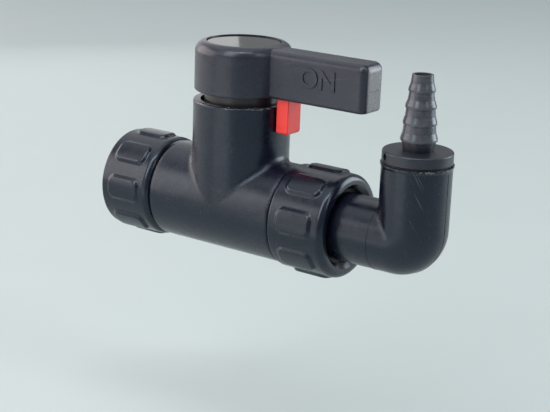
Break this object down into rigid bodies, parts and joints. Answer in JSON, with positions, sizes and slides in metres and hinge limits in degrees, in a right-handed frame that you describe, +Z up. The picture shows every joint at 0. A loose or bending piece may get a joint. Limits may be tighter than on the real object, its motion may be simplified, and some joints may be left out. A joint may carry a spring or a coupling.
{
  "type": "drain tap",
  "caption": "Black plastic canister drain tap: tee body with a quarter-turn lever and red lock tab, union nuts at both ends, and an outlet elbow with a stepped hose barb.",
  "frame": {"origin": "middle of the inlet gasket's outer face, where a canister's neck seats inside the inlet nut", "axes": "+X along the tube from the inlet to the outlet, +Z up the chimney to the lever"},
  "size_m": [0.1382, 0.0394, 0.0795],
  "materials": {
    "black_plastic": "satin moulded polypropylene",
    "black_nut": "semi-gloss moulded polypropylene",
    "cap_gloss": "polished",
    "red_plastic": "satin moulded",
    "plug_plastic": "smooth turned",
    "seal_rubber": "matte",
    "ring_plastic": "black acetal",
    "steel": "bright stainless",
    "dark_steel": "phosphated spring steel"
  },
  "bodies": {
    "body": {"valve_body": "black_plastic", "inlet_split_ring": "ring_plastic", "inlet_gasket": "seal_rubber", "outlet_gasket": "seal_rubber", "plug_retaining_ring": "dark_steel"},
    "inlet_nut": {"inlet_union_nut": "black_nut"},
    "outlet_nut": {"outlet_union_nut": "black_nut"},
    "outlet": {"outlet_elbow": "black_plastic", "outlet_split_ring": "ring_plastic", "hose_barb": "black_plastic", "barb_gasket": "seal_rubber"},
    "handle": {"valve_plug": "plug_plastic", "lower_plug_seal": "seal_rubber", "upper_plug_seal": "seal_rubber", "thrust_washer": "ring_plastic", "lever_handle": "black_plastic", "handle_screw": "steel", "handle_washer": "steel", "cap_disc": "cap_gloss", "lock_spring": "steel"},
    "lock": {"lock_tab": "red_plastic"}
  },
  "joints": [
    {"name": "inlet_nut_turn", "type": "hinge", "parent": "body", "child": "inlet_nut", "pos_m": [0, 0, 0], "axis": [1, 0, 0], "continuous": true},
    {"name": "outlet_nut_turn", "type": "hinge", "parent": "body", "child": "outlet_nut", "pos_m": [0.0388, 0, 0], "axis": [1, 0, 0], "continuous": true},
    {"name": "elbow_swivel", "type": "hinge", "parent": "body", "child": "outlet", "pos_m": [0.1127, 0, 0], "axis": [1, 0, 0], "continuous": true},
    {"name": "lever_turn", "type": "hinge", "parent": "body", "child": "handle", "pos_m": [0.0388, 0, 0], "axis": [0, 0, 1], "range_deg": [0, 90]},
    {"name": "lock_lift", "type": "slide", "parent": "handle", "child": "lock", "axis": [0, 0, 1], "range_m": [0, 0.0045], "stiffness_N_per_m": 200, "springref_m": -0.002, "deforming": ["lock_spring"]}
  ]
}
